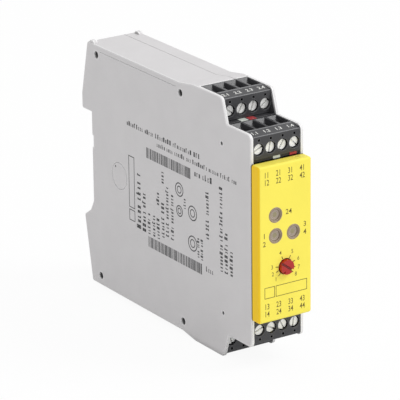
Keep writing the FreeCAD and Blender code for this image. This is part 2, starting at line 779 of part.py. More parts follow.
def potentiometer():
    """The adjuster on the front board that takes the knob's spindle."""
    body = new_body("potentiometer")
    half = d.pot_size / 2
    back = d.board_y
    front = back - d.pot_deep
    bottom = d.knob_deep - d.knob_out + d.spindle_long + d.knob_clear
    block(body, (MIDDLE - half, front, KNOB_Z - half), (MIDDLE + half, back, KNOB_Z + half))
    bore = d.spindle_dia + d.spindle_clear * 2
    prism(body, "XZ", front, bottom, lambda sketch: circle(sketch, MIDDLE, KNOB_Z, bore), cut=True)
    place(body)


# ---------------------------------------------------------------- terminal rows


class Row:
    """One row of four terminals: its plug, header, contacts, clamps and screws."""

    def __init__(self, name, rear, mirrored, slots):
        self.name = name
        self.rear = rear
        self.mirrored = mirrored
        self.slots = slots
        self.white_x = MIDDLE + (d.white_rear if rear else d.white_front)
        self.red_x = MIDDLE + (d.red_rear if rear else d.red_front)
        self.face = d.plug_front + d.plug_back if rear else d.plug_front
        self.low = d.height - d.plug_in + (d.plug_shift if rear else 0)
        self.shelf_y = d.shelf_rear if rear else d.shelf_front

    def y(self, depth):
        """A place behind the plug's front face."""
        return self.face + depth

    def z(self, up):
        """A level over the plug's underside, counted downwards in the lower rows."""
        level = self.low + up
        return d.height - level if self.mirrored else level

    def box(self, body, x0, x1, y0, y1, up0, up1, cut=False):
        """A block in the row's own measures."""
        levels = [self.z(up0), self.z(up1)]
        if self.mirrored:
            levels.reverse()
        return block(body, (x0, y0, levels[0]), (x1, y1, levels[1]), cut)

    def poles(self):
        """The X of each pole."""
        for k in range(POLES):
            yield MIDDLE + PITCH * (k - (POLES - 1) / 2)


# The last values are the angles at which the slots of the four screws stand.
ROWS = [
    Row("upper_front", False, False, (25, 80, 60, -45)),
    Row("upper_rear", True, False, (-40, 60, 70, 35)),
    Row("lower_front", False, True, (20, -30, -65, 80)),
    Row("lower_rear", True, True, (-70, 40, 10, 65)),
]

PLUG_LEFT = d.wall + d.side_gap
PLUG_RIGHT = d.width - d.wall - d.side_gap
PITCH = (PLUG_RIGHT - PLUG_LEFT - d.pole_end * 2) / (POLES - 1)
CHAMBER_WIDE = PITCH - d.chamber_web

HEAD_BACK = d.head_in + d.head_thick
CHAMBER_FRONT = HEAD_BACK + d.shoulder
CHAMBER_TOP = d.floor_thick + d.chamber_high
NUT_FRONT = CHAMBER_FRONT + d.cage_stop + d.cage_travel
BAR_FRONT = NUT_FRONT + d.cage_nut + d.bar_slack
BAR_BACK = BAR_FRONT + d.bar_thick
CAGE_BACK = BAR_BACK + d.wire_gap + d.cage_wall
CAGE_WIDE = CHAMBER_WIDE - d.cage_gap * 2
CAGE_LOW = d.floor_thick + d.cage_lift


def plug(row):
    """A pluggable terminal block with wire funnels, screw bores, chambers and test openings."""
    body = new_body("plug_" + row.name)
    back = row.y(d.plug_deep)

    def outline(sketch):
        polygon(sketch, [
            (row.face, row.z(0)),
            (back, row.z(0)),
            (back, row.z(d.plug_high)),
            (row.y(d.strip_run), row.z(d.plug_high)),
            (row.face, row.z(d.plug_high - d.strip_drop)),
        ])

    def chambers(sketch):
        half = CHAMBER_WIDE / 2
        for x in row.poles():
            rectangle(sketch, x - half, row.z(d.floor_thick), x + half, row.z(CHAMBER_TOP))

    def bores(diameter):
        def draw(sketch):
            for x in row.poles():
                circle(sketch, x, row.z(d.screw_up), diameter)
        return draw

    def probes(sketch):
        half = d.probe_size / 2
        up = d.screw_up + d.probe_up
        for x in row.poles():
            rectangle(sketch, x - half, row.z(up - half), x + half, row.z(up + half))

    prism(body, "YZ", PLUG_LEFT, PLUG_RIGHT, outline)
    prism(body, "XZ", row.y(CHAMBER_FRONT), back, chambers, cut=True)
    prism(body, "XZ", row.face, row.y(HEAD_BACK), bores(d.head_bore), cut=True)
    prism(body, "XZ", row.face, row.y(CHAMBER_FRONT), bores(d.shank_dia + d.shank_clear * 2), cut=True)
    prism(body, "XZ", row.face, row.y(d.probe_deep), probes, cut=True)
    for x in row.poles():
        funnel(body, row, x)
    place(body)


def funnel(body, row, x):
    """A wire funnel that narrows from the outer face of the plug to the clamp's chamber."""
    mouth = new_sketch(body, "XY", row.z(d.plug_high))
    half = (PITCH - d.funnel_web) / 2
    rectangle(
        mouth, x - half, row.y(d.strip_run + d.funnel_edge), x + half, row.y(d.plug_deep - d.funnel_edge))
    foot = new_sketch(body, "XY", row.z(CHAMBER_TOP))
    half = d.throat_wide / 2
    start = row.y(BAR_BACK + d.cage_stop)
    rectangle(foot, x - half, start, x + half, start + d.throat_long)
    loft = body.newObject("PartDesign::SubtractiveLoft", "funnel")
    loft.Profile = mouth
    loft.Sections = [foot]
    loft.Ruled = True
    DOC.recompute()


def screws(row):
    """The slotted terminal screws, each drawn about its own axis from the front of its head."""
    for number, (x, slot) in enumerate(zip(row.poles(), row.slots), start=1):
        body = new_body("screw_%s_%d" % (row.name, number))
        tip = BAR_FRONT - d.bar_gap - d.head_in
        prism(body, "XZ", 0, d.head_thick, lambda sketch: circle(sketch, 0, 0, d.head_dia))
        prism(body, "XZ", d.head_thick, tip, lambda sketch: circle(sketch, 0, 0, d.shank_dia))
        half = d.slot_wide / 2
        block(body, (d.head_dia * -0.5, 0, half * -1), (d.head_dia / 2, d.slot_deep, half), cut=True)
        turn = FreeCAD.Rotation(FreeCAD.Vector(0, 1, 0), -slot)
        place(body, x, row.y(d.head_in), row.z(d.screw_up), turn)


def clamps(row):
    """The rising clamps: a threaded wall, two sides and the wall that lifts the wire."""
    for number, x in enumerate(row.poles(), start=1):
        body = new_body("clamp_%s_%d" % (row.name, number))
        half = CAGE_WIDE / 2
        inner = half - d.cage_wall
        top = CHAMBER_TOP - d.cage_gap
        row.box(body, x - half, x + half, row.y(NUT_FRONT), row.y(CAGE_BACK), CAGE_LOW, top)
        row.box(
            body, x - inner, x + inner, row.y(NUT_FRONT + d.cage_nut),
            row.y(CAGE_BACK - d.cage_wall), CAGE_LOW, top, cut=True)
        thread = d.shank_dia + d.thread_clear * 2
        prism(
            body, "XZ", row.y(NUT_FRONT), row.y(NUT_FRONT + d.cage_nut),
            lambda sketch: circle(sketch, x, row.z(d.screw_up), thread), cut=True)
        place(body)


def contacts(row):
    """The contact bars with the forks that grip the header pins, one for each pole."""
    inner = d.pin_wide / 2 + d.pin_gap
    pieces = []
    for x in row.poles():
        half = d.bar_wide / 2
        fork_back = row.y(d.plug_deep - d.prong_end)
        fork_top = d.floor_thick + d.prong_high
        boxes = [
            (x - half, x + half, row.y(BAR_FRONT), row.y(BAR_BACK), d.floor_thick, CHAMBER_TOP),
            (x - inner - d.prong_wide, x - inner, row.y(BAR_BACK), fork_back, d.floor_thick, fork_top),
            (x + inner, x + inner + d.prong_wide, row.y(BAR_BACK), fork_back, d.floor_thick, fork_top),
        ]
        pieces.append(fuse([plain_box(row, *b) for b in boxes]))
    group("contacts_" + row.name, pieces)


def header(row):
    """The pin header behind a plug, with the shelf that carries the plug."""
    body = new_body("header_" + row.name)
    left = d.wall + d.header_side
    right = d.width - left
    front = row.y(d.plug_deep + d.header_gap)
    back = front + d.header_deep
    floor = (d.shelf_gap + d.shelf_thick) * -1
    shelf_top = d.shelf_gap * -1

    def outline(sketch):
        polygon(sketch, [
            (row.shelf_y, row.z(floor)),
            (back, row.z(floor)),
            (back, row.z(floor + d.header_high)),
            (front, row.z(floor + d.header_high)),
            (front, row.z(shelf_top)),
            (row.shelf_y, row.z(shelf_top)),
        ])

    def pin_holes(sketch):
        half = d.pin_wide / 2
        low = d.floor_thick + d.pin_gap
        for x in row.poles():
            rectangle(sketch, x - half, row.z(low), x + half, row.z(low + d.pin_high))

    prism(body, "YZ", left, right, outline)
    if not row.rear:
        peg_z = d.pin_hole_in if row.mirrored else d.height - d.pin_hole_in
        prism(
            body, "YZ", d.wall - d.peg_reach, d.width - d.wall + d.peg_reach,
            lambda sketch: circle(sketch, d.pin_hole_y, peg_z, d.pin_hole - d.header_side * 2))
    prism(body, "XZ", front, back, pin_holes, cut=True)
    for x in (row.white_x, row.red_x):
        half = d.key_wide / 2
        row.box(body, x - half, x + half, row.shelf_y, row.shelf_y + d.key_deep, floor, shelf_top, cut=True)
    place(body)


# ---------------------------------------------------------------- groups of small like pieces


def plain_box(row, x0, x1, y0, y1, up0, up1):
    """A box primitive in a row's measures."""
    low = row.z(up1) if row.mirrored else row.z(up0)
    return box_at(x0, y0, low, x1 - x0, y1 - y0, size(up1) - up0)


def box_at(x, y, z, dx, dy, dz):
    """A box primitive driven by the sheet."""
    box = DOC.addObject("Part::Box", "box")
    sides = (("Length", dx), ("Width", dy), ("Height", dz))
    for name, length in sides + (("Placement.Base.x", x), ("Placement.Base.y", y), ("Placement.Base.z", z)):
        box.setExpression(name, size(length).text)
    return box


def fuse(parts):
    """One solid from several primitives."""
    joined = DOC.addObject("Part::MultiFuse", "joined")
    joined.Shapes = parts
    return joined


def group(label, pieces):
    """A sub-part that holds several separate solids."""
    whole = DOC.addObject("Part::Compound", label)
    whole.Label = label
    whole.Links = pieces
    SUBPARTS.append(whole)
    place(whole)


def header_pins():
    """The bent pins of all headers: each runs from its fork to its hole in the main board."""
    pins = []
    board_left = INNER_LEFT + d.board_gap
    for row in ROWS:
        back = row.y(d.plug_deep + d.header_gap) + d.header_deep
        low = d.floor_thick + d.pin_gap
        for k, x in enumerate(row.poles()):
            half = d.pin_wide / 2
            bend = back + d.pin_bend + d.pin_step * k
            tip = row.y(d.plug_deep - d.pin_reach)
            run = plain_box(row, x - half, x + half, tip, bend + half, low, low + d.pin_high)
            leg = plain_box(row, board_left - d.leg_out, x + half, bend - half, bend + half,
                            low, low + d.pin_high)
            pins.append(fuse([run, leg]))
    group("header_pins", pins)


def coding_keys(label, colour_x):
    """The coding keys of one colour, one in the shelf of each header."""
    keys = []
    floor = (d.shelf_gap + d.shelf_thick) * -1
    for row in ROWS:
        x = colour_x(row)
        half = d.key_wide / 2
        keys.append(plain_box(row, x - half, x + half, row.shelf_y - d.key_out,
                              row.shelf_y + d.key_deep, floor, d.shelf_gap * -1))
    group(label, keys)


# ---------------------------------------------------------------- boards and what they carry


def main_board():
    """The printed board along the left wall, with the holes of the header pins."""
    body = new_body("main_board")
    left = INNER_LEFT + d.board_gap
    front = ROWS[0]
    rear = ROWS[1]
    edge = d.board_edge
    floor = d.shelf_gap + d.shelf_thick
    header_back = d.plug_deep + d.header_gap + d.header_deep
    pillar = d.peg_bore / 2 + d.peg_wall + edge
    levels = [
        (d.board_y + d.board_thick + edge, front.low - floor - edge),
        (front.y(header_back) + edge, front.low - floor - edge),
        (front.y(header_back) + edge, rear.low - floor - edge),
        (rear.y(header_back) + edge, rear.low - floor - edge),
        (rear.y(header_back) + edge, d.height - d.peg_in - pillar),
        (d.peg_y1 + pillar, d.height - d.peg_in - pillar),
        (d.peg_y1 + pillar, rear.low + d.board_tab),
        (rear.y(header_back) + d.pin_bend + d.pin_step * POLES, rear.low + d.board_tab),
        (rear.y(header_back) + d.pin_bend + d.pin_step * POLES, d.height - d.peg_in - pillar),
        (BACK_WALL_Y - edge, d.height - d.peg_in - pillar),
    ]
    mirrored = [(y, d.height - z) for y, z in reversed(levels)]

    def pin_holes(sketch):
        half_y = d.pin_wide / 2 + d.pin_gap
        half_z = d.pin_high / 2 + d.pin_gap
        for row in ROWS:
            centre = row.z(d.floor_thick + d.pin_gap + d.pin_high / 2)
            for k in range(POLES):
                bend = row.y(header_back) + d.pin_bend + d.pin_step * k
                rectangle(sketch, bend - half_y, centre - half_z, bend + half_y, centre + half_z)

    prism(body, "YZ", left, left + d.board_thick, lambda sketch: polygon(sketch, levels + mirrored))
    prism(body, "YZ", left, left + d.board_thick, pin_holes, cut=True)
    place(body)


def board_part(label, y, z, long, wide, tall):
    """A closed component that stands on the main board."""
    body = new_body(label)
    foot = INNER_LEFT + d.board_gap + d.board_thick
    block(body, (foot, y, z), (foot + tall, y + long, z + wide))
    edges = edges_at(body, 0, [(y, z), (y + long, z), (y, z + wide), (y + long, z + wide)])
    round_edges(body, edges, d.part_round)
    place(body)


def front_board():
    """The board behind the cover that carries the potentiometer and the status lights."""
    body = new_body("front_board")
    left = INNER_LEFT + d.board_gap
    low = d.cover_low + d.cover_wall + d.board_edge
    block(body, (left, d.board_y, low), (d.width - left, d.board_y + d.board_thick, d.height - low))
    place(body)


# ---------------------------------------------------------------- rail catch


def rail_catch():
    """The sliding catch: a plate with a nose that reaches behind the rail and a spring shelf."""
    body = new_body("rail_catch")
    front = RECESS_Y + d.catch_set
    back = front + d.catch_thick
    nose_back = LIP_Y + d.lip_thick
    top = RAIL_LOW + d.lip_over
    step = CATCH_STEP

    def outline(sketch):
        polygon(sketch, [
            (front, d.catch_low),
            (back, d.catch_low),
            (back, step),
            (nose_back, step + d.lip_thick),
            (nose_back, top - d.nose_lead),
            (LIP_Y + d.nose_tip, top),
            (LIP_Y, top),
            (LIP_Y, step + d.catch_lug),
            (SPRING_Y - d.spring_dia / 2, step + d.catch_lug),
            (SPRING_Y - d.spring_dia / 2, step),
            (front, step),
        ])

    prism(body, "YZ", CATCH_LEFT, CATCH_RIGHT, outline)
    half = d.tool_wide / 2
    low = d.catch_low + d.tool_edge
    block(body, (MIDDLE - half, front, low), (MIDDLE + half, back, low + d.tool_high), cut=True)
    place(body)


def catch_spring():
    """The coil spring between the housing's seat and the shelf of the catch."""
    radius = (d.spring_dia - d.spring_wire) / 2
    wire = d.spring_wire / 2
    length = CATCH_STEP - d.ledge_z - d.spring_wire
    helix = DOC.addObject("Part::Helix", "spring_path")
    helix.setExpression("Radius", radius.text)
    helix.setExpression("Height", length.text)
    helix.setExpression("Pitch", (length / d.spring_turns).text)
    section = DOC.addObject("Part::Circle", "spring_section")
    section.setExpression("Radius", wire.text)
    section.Placement = FreeCAD.Placement(
        FreeCAD.Vector(radius.number, 0, 0), FreeCAD.Rotation(FreeCAD.Vector(1, 0, 0), 90))
    section.setExpression("Placement.Base.x", radius.text)
    DOC.recompute()
    coil = DOC.addObject("Part::Sweep", "catch_spring")
    coil.Label = "catch_spring"
    coil.Sections = [section]
    coil.Spine = (helix, ["Edge1"])
    coil.Solid = True
    coil.Frenet = True
    SUBPARTS.append(coil)
    place(coil, MIDDLE, SPRING_Y, d.ledge_z + wire)


# ---------------------------------------------------------------- the whole device

left_shell()
right_shell()
front_cover()
light_pipe()
delay_knob()
potentiometer()
front_board()
main_board()
for row in ROWS:
    header(row)
    plug(row)
    contacts(row)
    clamps(row)
    screws(row)
header_pins()
coding_keys("coding_keys_white", lambda row: row.white_x)
coding_keys("coding_keys_red", lambda row: row.red_x)
core_y = BACK_WALL_Y - d.core_back - d.core_long
core_z = d.height - d.core_in - d.core_wide
relay_y = BACK_WALL_Y - d.relay_back - d.relay_long
upper_z = core_z - d.core_gap - d.relay_wide
lower_z = upper_z - d.relay_gap - d.relay_wide
board_part("transformer", core_y, core_z, d.core_long, d.core_wide, d.core_tall)
board_part("relay_upper", relay_y, upper_z, d.relay_long, d.relay_wide, d.relay_tall)
board_part("relay_lower", relay_y, lower_z, d.relay_long, d.relay_wide, d.relay_tall)
rail_catch()
catch_spring()

DOC.recompute()
for thing in DOC.Objects:
    if "Invalid" in thing.State or "Error" in thing.State:
        raise RuntimeError("%s did not build: %s" % (thing.Label, thing.State))
os.makedirs("parts", exist_ok=True)
for part in SUBPARTS:
    if part.Shape.isNull() or not part.Shape.isValid():
        raise RuntimeError("%s has no valid shape" % part.Label)
for part in SUBPARTS:
    part.Shape.exportStep("parts/%s.step" % part.Label)
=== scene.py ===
import math
import random

import bmesh
import bpy
from mathutils import Matrix, Vector


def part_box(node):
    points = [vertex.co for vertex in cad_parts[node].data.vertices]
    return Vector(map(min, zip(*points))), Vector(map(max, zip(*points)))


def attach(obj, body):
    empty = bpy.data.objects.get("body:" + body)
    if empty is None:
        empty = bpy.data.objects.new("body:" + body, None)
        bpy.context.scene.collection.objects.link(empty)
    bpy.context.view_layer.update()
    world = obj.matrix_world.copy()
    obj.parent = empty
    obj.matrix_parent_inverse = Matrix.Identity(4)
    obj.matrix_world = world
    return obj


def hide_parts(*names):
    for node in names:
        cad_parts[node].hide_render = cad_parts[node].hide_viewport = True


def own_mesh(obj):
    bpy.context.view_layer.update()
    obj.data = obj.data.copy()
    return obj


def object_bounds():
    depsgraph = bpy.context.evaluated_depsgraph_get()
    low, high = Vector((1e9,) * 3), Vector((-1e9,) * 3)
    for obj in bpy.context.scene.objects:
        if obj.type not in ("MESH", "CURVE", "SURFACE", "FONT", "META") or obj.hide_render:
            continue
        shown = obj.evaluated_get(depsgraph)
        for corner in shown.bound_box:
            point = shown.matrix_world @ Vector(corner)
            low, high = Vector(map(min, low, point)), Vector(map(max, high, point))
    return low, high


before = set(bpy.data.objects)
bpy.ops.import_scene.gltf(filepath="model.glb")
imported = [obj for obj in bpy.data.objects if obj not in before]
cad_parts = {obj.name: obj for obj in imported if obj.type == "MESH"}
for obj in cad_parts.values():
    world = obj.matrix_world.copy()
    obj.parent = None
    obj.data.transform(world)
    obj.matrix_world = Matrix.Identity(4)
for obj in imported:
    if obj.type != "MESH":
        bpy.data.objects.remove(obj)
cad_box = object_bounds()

# The safety relay stands on its lower edge with its yellow cover towards -Y. Blender's lengths are
# in metres. Sizes written in millimetres are multiplied by MM where they are handed to Blender.

MM = 0.001
ROWS = ("upper_front", "upper_rear", "lower_front", "lower_rear")
POLES = 4
PITCH = 5.0

# Print reaches this far out of its surface, and as far into it.
INK = 0.01 * MM

# The knob is the foremost piece. It stands this far out of the cover's front.
KNOB_OUT = 1.5
COVER_FRONT = cad_box[0].y / MM + KNOB_OUT

# Diameter of the status windows.
WINDOW = 5.2


# ---------------------------------------------------------------- material helpers

# Samples of each node that looks for recesses, thin walls or edges.
SAMPLES = 6


def colour(red, green, blue):
    """A linear colour from the 0 to 255 values of a colour chart."""
    def linear(value):
        value /= 255
        return value / 12.92 if value <= 0.04045 else ((value + 0.055) / 1.055) ** 2.4

    return (linear(red), linear(green), linear(blue), 1)


def shaded(tone, share):
    """The same colour, darker or lighter by a share."""
    return tuple(min(1, part * share) for part in tone[:3]) + (1,)


class Recipe:
    """A node material under construction."""

    def __init__(self, name):
        self.material = bpy.data.materials.new(name)
        self.material.use_nodes = True
        self.tree = self.material.node_tree
        self.shader = self.tree.nodes["Principled BSDF"]
        self.place = self.add("ShaderNodeTexCoord").outputs["Object"]

    def add(self, kind, values=None, **settings):
        """A node with its settings and the values or links of its inputs."""
        node = self.tree.nodes.new(kind)
        for key, value in settings.items():
            setattr(node, key, value)
        for key, value in (values or {}).items():
            self.feed(node.inputs[key], value)
        return node

    def feed(self, socket, value):
        """Set a socket, or link it if the value is another socket."""
        if isinstance(value, bpy.types.NodeSocket):
            self.tree.links.new(value, socket)
        else:
            socket.default_value = value

    def set(self, **values):
        """Set or link inputs of the shader, named with underscores for spaces."""
        for key, value in values.items():
            self.feed(self.shader.inputs[key.replace("_", " ")], value)

    def math(self, operation, *values):
        """The result of one sum."""
        return self.add("ShaderNodeMath", dict(enumerate(values)), operation=operation).outputs[0]

    def noise(self, size, detail=3.0, stretch=(1, 1, 1), rough=0.5):
        """Noise whose grains are about that size, stretched along the axes."""
        scale = [1 / share for share in stretch]
        spread = self.add("ShaderNodeMapping", {"Vector": self.place, "Scale": scale})
        found = self.add("ShaderNodeTexNoise", {
            "Vector": spread.outputs[0], "Scale": 1 / size, "Detail": detail, "Roughness": rough})
        return found.outputs["Fac"]

    def range(self, factor, low, high, start=0.3, end=0.7):
        """The factor, mapped from start and end to low and high."""
        node = self.add("ShaderNodeMapRange", {
            "Value": factor, "From Min": start, "From Max": end, "To Min": low, "To Max": high})
        return node.outputs[0]

    def mix(self, factor, first, second):
        """A colour between two."""
        node = self.add("ShaderNodeMix", data_type="RGBA")
        self.feed(node.inputs[0], factor)
        self.feed(node.inputs[6], first)
        self.feed(node.inputs[7], second)
        return node.outputs[2]

    def crevice(self, tone, deep, reach, start=0.15, end=0.75):
        """The colour, darkened in narrow recesses up to that width, as a painted shade."""
        around = self.add("ShaderNodeAmbientOcclusion", {"Distance": reach}, samples=SAMPLES)
        return self.mix(self.range(around.outputs["AO"], 0, 1, start, end), deep, tone)

    def lit_edge(self, tone, pale, reach):
        """The colour with a painted highlight: paler where the moulding is thin, and less so on faces
        that look sideways.
        """
        inside = self.add(
            "ShaderNodeAmbientOcclusion", {"Distance": reach}, samples=SAMPLES, inside=True)
        thin = self.range(inside.outputs["AO"], 1, 0, start=0.55, end=0.97)
        normal = self.add("ShaderNodeNewGeometry").outputs["Normal"]
        sideways = self.math("ABSOLUTE", self.add("ShaderNodeSeparateXYZ", {0: normal}).outputs["X"])
        weight = self.range(sideways, 1, 0.35, start=0.6, end=0.97)
        return self.mix(self.math("MULTIPLY", thin, weight), tone, pale)

    def zone(self, tone, other, axis, middle, start, end):
        """The colour, turning into another where the distance from a plane goes from start to end."""
        across = self.add("ShaderNodeSeparateXYZ", {0: self.place}).outputs[axis]
        away = self.math("ABSOLUTE", self.math("SUBTRACT", across, middle))
        return self.mix(self.range(away, 0, 1, start * MM, end * MM), tone, other)

    def relief(self, height, depth, edge=0.0):
        """A bump of that depth, on edges softened by that radius."""
        values = {"Height": height, "Distance": depth, "Strength": 1.0}
        if edge:
            soft = self.add("ShaderNodeBevel", {"Radius": edge}, samples=SAMPLES)
            values["Normal"] = soft.outputs[0]
        self.set(Normal=self.add("ShaderNodeBump", values).outputs[0])


def moulded(name, tone, rough, grain=0.35, depth=0.012, edge=0.18, worn=1.06, hollow=0.0,
            narrow=(0.15, 0.75), rim=None, rim_reach=0.55, zones=(), **fixed):
    """Moulded plastic with a spark-eroded grain, slight clouding and soft edges.

    hollow is the reach of the painted shade in recesses, and rim the colour of the painted highlight
    on thin edges. Each zone is a colour, an axis, the place of a plane on it in metres, and two
    distances from that plane in millimetres: where the colour starts and where it is full.
    """
    made = Recipe(name)
    cloud = made.noise(9 * MM, detail=2)
    fine = made.noise(grain * MM, detail=4, rough=0.6)
    base = made.mix(made.range(cloud, 0, 1), shaded(tone, 0.965), tone)
    grain_and_painted_light = made.mix(made.range(fine, 0, 0.5, 0.45, 0.8), base, shaded(tone, worn))
    # The grain colour gets a painted shade in recesses and a painted highlight on thin edges here.
    if hollow:
        grain_and_painted_light = made.crevice(grain_and_painted_light, shaded(tone, 0.15), hollow * MM, *narrow)
    if rim:
        grain_and_painted_light = made.lit_edge(grain_and_painted_light, rim, rim_reach * MM)
    for other, axis, middle, start, end in zones:
        grain_and_painted_light = made.zone(grain_and_painted_light, other, axis, middle, start, end)
    made.set(
        Base_Color=grain_and_painted_light,
        Roughness=made.range(fine, rough - 0.05, rough + 0.07),
        **fixed,
    )
    made.relief(fine, depth * MM, edge=edge * MM)
    return made.material


def plated(name, tone, rough, stretch=(1, 1, 1), depth=0.006, metal=1.0, tarnish=0.8, shade=0.7,
           **fixed):
    """Bright plated steel with fine drawing lines and a little tarnish, and painted shade in its
    narrow slots.
    """
    made = Recipe(name)
    lines = made.noise(0.12 * MM, detail=2, stretch=stretch)
    stain = made.noise(1.6 * MM)
    mottled = made.mix(made.range(stain, 0, 1, 0.4, 0.75), tone, shaded(tone, tarnish))
    made.set(
        Base_Color=made.crevice(mottled, shaded(tone, 0.08), shade * MM),
        Roughness=made.range(lines, rough - 0.06, rough + 0.1),
        Metallic=metal,
        **fixed,
    )
    made.relief(lines, depth * MM, edge=0.08 * MM)
    return made.material


def printed_board(name):
    """Green solder resist over fine copper tracks."""
    made = Recipe(name)
    tracks = made.add("ShaderNodeTexBrick", {
        "Vector": made.place, "Scale": 1 / (9 * MM), "Mortar Size": 0.03,
        "Color1": colour(22, 92, 52), "Color2": colour(26, 104, 60), "Mortar": colour(40, 136, 84)})
    fine = made.noise(0.5 * MM)
    made.set(
        Base_Color=made.mix(made.range(fine, 0, 0.3), tracks.outputs["Color"], colour(18, 78, 46)),
        Roughness=made.range(fine, 0.28, 0.4),
        Coat_Weight=0.3,
    )
    made.relief(tracks.outputs["Fac"], 0.03 * MM, edge=0.1 * MM)
    return made.material


# Colours of a window, painted as rings of highlight and shade: its centre, its edge, and the rings
# between them, each with its place from the centre (0) to the edge (1).
WINDOW_CENTRE = (152, 142, 104)
WINDOW_EDGE = (112, 88, 54)
WINDOW_LIGHT_RINGS = (
    (0.34, (148, 138, 102)),
    (0.42, (184, 166, 154)),
    (0.52, (146, 128, 116)),
    (0.64, (214, 200, 180)),
    (0.72, (134, 114, 98)),
    (0.82, (154, 136, 120)),
    (0.90, (226, 212, 188)),
    (0.96, (140, 114, 80)),
)


def clear_window(name, centres):
    """The milky clear plastic of the status windows, with painted rings of highlight and shade about
    each centre.
    """
    made = Recipe(name)
    cloud = made.noise(1.2 * MM)
    flat = made.add("ShaderNodeVectorMath", {0: made.place, 1: (1, 0, 1)}, operation="MULTIPLY")
    nearest = None
    for x, z in centres:
        ends = {0: flat.outputs[0], 1: (x, 0, z)}
        away = made.add("ShaderNodeVectorMath", ends, operation="DISTANCE").outputs["Value"]
        nearest = away if nearest is None else made.math("MINIMUM", nearest, away)
    rings = made.add("ShaderNodeValToRGB", {"Fac": made.range(nearest, 0, 1, 0, WINDOW / 2 * MM)})
    stops = rings.color_ramp.elements
    stops[0].color = colour(*WINDOW_CENTRE)
    stops[1].position = 1.0
    stops[1].color = colour(*WINDOW_EDGE)
    for position, tone in WINDOW_LIGHT_RINGS:
        stop = stops.new(position)
        stop.color = colour(*tone)
    made.set(
        Base_Color=made.mix(made.range(cloud, 0, 0.25), rings.outputs["Color"], colour(160, 148, 122)),
        Roughness=made.range(cloud, 0.18, 0.3),
        Transmission_Weight=0.1,
        Coat_Weight=0.5,
        IOR=1.49,
    )
    made.relief(cloud, 0.01 * MM, edge=0.12 * MM)
    return made.material


def printing_ink(name, tone, fade):
    """Pad-printed ink whose cover varies a little."""
    made = Recipe(name)
    patches = made.noise(0.5 * MM, detail=4)
    made.set(
        Base_Color=made.mix(made.range(patches, 0, 1), tone, shaded(tone, fade)),
        Roughness=made.range(patches, 0.45, 0.6),
    )
    made.relief(patches, 0.002 * MM)
    return made.material


def laminations(name):
    """The edge of a stack of dark transformer sheets."""
    made = Recipe(name)
    values = {"Vector": made.place, "Scale": 1 / (1.2 * MM), "Distortion": 0.3, "Detail": 1}
    sheets = made.add("ShaderNodeTexWave", values, bands_direction="X")
    rust = made.noise(2.5 * MM, detail=4)
    made.set(
        Base_Color=made.mix(made.range(rust, 0, 1), colour(70, 70, 74), colour(96, 88, 80)),
        Roughness=made.range(rust, 0.4, 0.6),
        Metallic=0.6,
    )
    made.relief(sheets.outputs["Fac"], 0.06 * MM, edge=0.2 * MM)
    return made.material


# ---------------------------------------------------------------- materials of the CAD nodes


def window_centres():
    """The X and Z of the three status windows, in metres: upper left, lower left, lower right."""
    low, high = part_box("light_pipe")
    reach = WINDOW / 2 * MM
    left, right = low.x + reach, high.x - reach
    lower, upper = low.z + reach, high.z - reach
    return [(left, upper), (left, lower), (right, lower)]


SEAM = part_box("housing_left_shell")[1].x
PLATE_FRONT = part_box("housing_left_shell")[0].y
HALF_WIDTH = cad_box[1].x / MM
GREY = colour(208, 206, 207)

# The housing has painted shade in its recesses and a painted white highlight on its thin edges.
# Near the seam of the shells it keeps its plain colour, and the seam is a fine dark line.
HOUSING = moulded(
    "housing_grey", GREY, 0.5, grain=0.3, depth=0.006, edge=0.3, hollow=3.5, narrow=(0.2, 0.8),
    rim=colour(252, 252, 252), rim_reach=0.8,
    zones=[(GREY, "X", SEAM, 1.1, 0.7), (shaded(GREY, 0.4), "X", SEAM, 0.11, 0.05)])

# The cover has a painted highlight on its thin edges, painted shade that makes its two side walls
# a deeper yellow, and painted shade in the joint near the front of the side plates.
COVER = moulded(
    "cover_yellow", colour(246, 231, 94), 0.42, grain=0.3, depth=0.004, edge=0.25, worn=1.02,
    rim=colour(255, 243, 140), rim_reach=0.4, Specular_IOR_Level=0.15,
    zones=[
        (colour(246, 203, 40), "X", 0, HALF_WIDTH - 0.6, HALF_WIDTH - 0.4),
        (colour(92, 78, 34), "Y", PLATE_FRONT, 0.85, 0.6)])
# The terminal blocks have painted shade in their recesses and funnels and a painted highlight on their
# thin edges.
TERMINAL = moulded(
    "terminal_grey", colour(52, 52, 55), 0.36, grain=0.25, depth=0.006, edge=0.16, worn=1.25,
    hollow=2.5, narrow=(0.12, 0.62), rim=colour(92, 92, 95), rim_reach=0.3)
# The knob has painted shade in its recesses.
KNOB = moulded(
    "knob_red", colour(172, 22, 8), 0.36, grain=0.5, depth=0.002, edge=0.2, worn=1.1, hollow=0.8,
    Subsurface_Weight=0.15, Subsurface_Radius=(1.0, 0.25, 0.15), Subsurface_Scale=0.6 * MM,
    Coat_Weight=0.08)
CATCH = moulded("catch_plastic", colour(64, 64, 67), 0.45, depth=0.01)
BLACK = moulded("potentiometer_black", colour(38, 38, 41), 0.4)
RELAY = moulded("relay_case", colour(226, 222, 208), 0.35, depth=0.006, edge=0.3)
KEY_WHITE = moulded("key_white", colour(214, 220, 212), 0.4, depth=0.006)
KEY_RED = moulded("key_red", colour(176, 58, 62), 0.4, depth=0.006)
SCREW = plated(
    "screw_steel", colour(254, 254, 252), 0.4, stretch=(1, 1, 6), depth=0.002, metal=0.12,
    tarnish=0.95, shade=0.35, Coat_Weight=0.35, Coat_Roughness=0.15)
CLAMP = plated("clamp_steel", colour(214, 214, 210), 0.32, stretch=(6, 1, 1))
TIN = plated("contact_tin", colour(206, 202, 190), 0.3, stretch=(1, 6, 1))
SPRING = plated("spring_steel", colour(170, 170, 172), 0.3)
BOARD = printed_board("board_green")
LENS = clear_window("lens_clear", window_centres())
CORE = laminations("core_steel")
WHITE_INK = printing_ink("ink_white", colour(236, 236, 232), 0.9)
